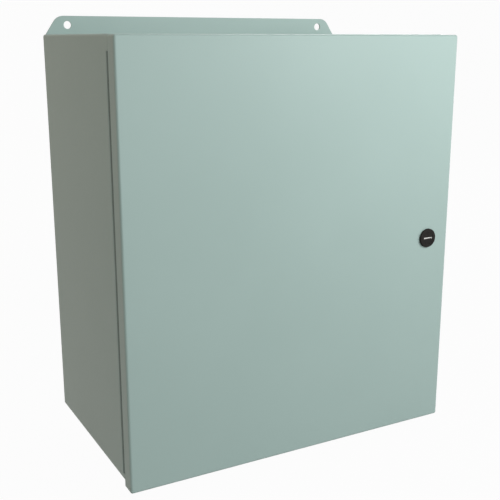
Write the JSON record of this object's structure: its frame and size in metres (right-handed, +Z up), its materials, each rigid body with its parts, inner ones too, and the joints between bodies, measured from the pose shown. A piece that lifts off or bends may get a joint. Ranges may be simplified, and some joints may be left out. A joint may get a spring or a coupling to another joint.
{
  "type": "wall-mount traffic signal controller cabinet",
  "caption": "Small wall-mount sheet-steel cabinet with wall flanges, a side-hinged overlapping door, a slotted quarter-turn latch and an inner equipment panel.",
  "frame": {"origin": "middle of the four wall holes, on the plane of the wall", "axes": "+X to the right seen from the front, +Y into the wall, +Z up; the door faces -Y"},
  "size_m": [0.3635, 0.2138, 0.4436],
  "materials": {
    "enclosure_paint": "semi-gloss powder coat",
    "hinge_paint": "semi-gloss powder coat",
    "hinge_pin_steel": "satin",
    "seal_foam": "closed-cell foam",
    "latch_black": "satin black",
    "latch_black_insert": "satin black with bright slot",
    "latch_rubber": "matte",
    "zinc_plated": "zinc plated",
    "stud_steel": "copper-flashed steel",
    "panel_white": "semi-gloss white paint"
  },
  "bodies": {
    "cabinet": {"body_wrap": "enclosure_paint", "back_panel": "enclosure_paint", "hinge_body_leaf": "hinge_paint", "hinge_pin": "hinge_pin_steel", "inner_panel": "panel_white", "panel_studs": "stud_steel", "panel_washers": "zinc_plated", "panel_nuts": "zinc_plated", "body_bond_stud": "stud_steel", "body_bond_washer": "zinc_plated", "body_bond_nut": "zinc_plated"},
    "door": {"door_panel": "enclosure_paint", "hinge_door_leaf": "hinge_paint", "door_seal": "seal_foam", "latch_housing": "latch_black", "latch_gasket": "latch_rubber", "latch_nut": "zinc_plated", "door_bond_stud": "stud_steel", "door_bond_washer": "zinc_plated", "door_bond_nut": "zinc_plated"},
    "latch": {"latch_insert": "latch_black_insert", "shaft_seal": "latch_rubber", "stop_washer": "zinc_plated", "latch_cam": "zinc_plated", "cam_washer": "zinc_plated", "cam_screw": "zinc_plated"}
  },
  "joints": [
    {"name": "door_hinge", "type": "hinge", "parent": "cabinet", "child": "door", "pos_m": [-0.1766, -0.1935, -0.0035], "axis": [0, 0, -1], "range_deg": [0, 115]},
    {"name": "latch_turn", "type": "hinge", "parent": "door", "child": "latch", "pos_m": [0.1582, -0.2113, -0.0035], "axis": [0, 1, 0], "range_deg": [0, 90]}
  ]
}
